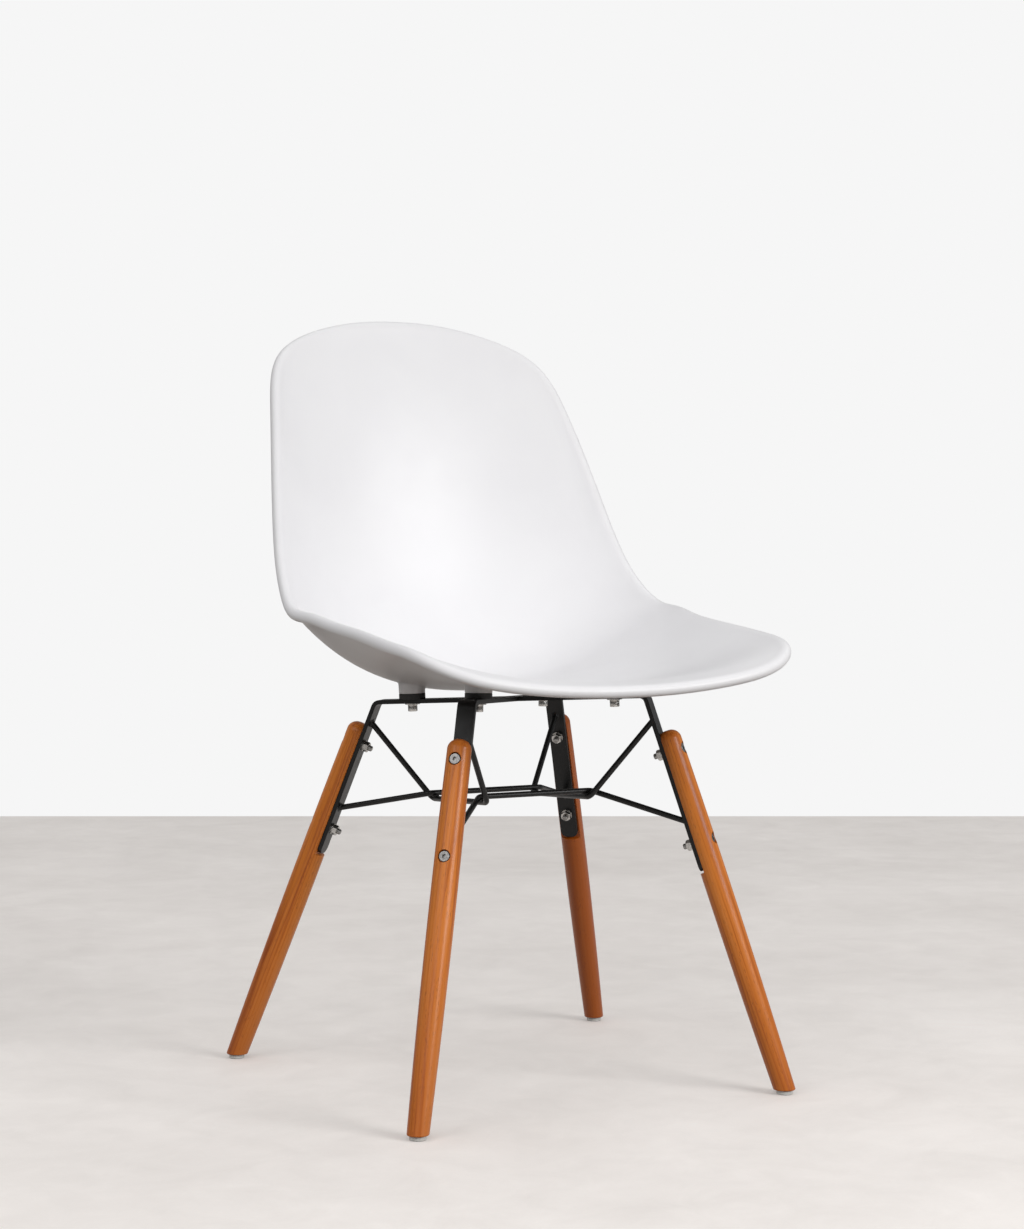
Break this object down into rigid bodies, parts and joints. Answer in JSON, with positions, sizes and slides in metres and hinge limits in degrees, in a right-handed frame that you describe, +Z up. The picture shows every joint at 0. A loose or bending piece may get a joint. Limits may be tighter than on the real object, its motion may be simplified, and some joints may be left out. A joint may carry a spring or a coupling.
{
  "type": "moulded plastic shell chair",
  "caption": "Side chair with a one-piece moulded plastic bucket seat and back on a bent steel frame with splayed round wooden legs.",
  "frame": {"origin": "on the floor, under the middle of the chair's overall box", "axes": "+Z up; the sitter faces -Y; +X is the sitter's left"},
  "size_m": [0.4694, 0.539, 0.813],
  "materials": {
    "shell_plastic": "satin",
    "insert_brass": "satin",
    "black_rubber": "matte",
    "zinc_steel": "satin",
    "black_steel": "satin",
    "leg_wood": "satin",
    "glide_plastic": "matte"
  },
  "bodies": {
    "root": {"seat_shell": "shell_plastic", "seat_inserts": "insert_brass", "rubber_mount_front_right": "black_rubber", "rubber_mount_front_left": "black_rubber", "rubber_mount_rear_right": "black_rubber", "rubber_mount_rear_left": "black_rubber", "mount_washers": "zinc_steel", "mount_spring_washers": "zinc_steel", "mount_screws": "zinc_steel", "flat_bar_through": "black_steel", "flat_bar_front_half": "black_steel", "flat_bar_rear_half": "black_steel", "side_rod_right": "black_steel", "side_rod_left": "black_steel", "cross_rod_front": "black_steel", "cross_rod_rear": "black_steel", "leg_front_right": "leg_wood", "leg_bolts_front_right": "zinc_steel", "leg_washers_front_right": "zinc_steel", "leg_nuts_front_right": "zinc_steel", "glide_front_right": "glide_plastic", "leg_front_left": "leg_wood", "leg_bolts_front_left": "zinc_steel", "leg_washers_front_left": "zinc_steel", "leg_nuts_front_left": "zinc_steel", "glide_front_left": "glide_plastic", "leg_rear_right": "leg_wood", "leg_bolts_rear_right": "zinc_steel", "leg_washers_rear_right": "zinc_steel", "leg_nuts_rear_right": "zinc_steel", "glide_rear_right": "glide_plastic", "leg_rear_left": "leg_wood", "leg_bolts_rear_left": "zinc_steel", "leg_washers_rear_left": "zinc_steel", "leg_nuts_rear_left": "zinc_steel", "glide_rear_left": "glide_plastic", "glide_nails": "zinc_steel"}
  },
  "joints": []
}
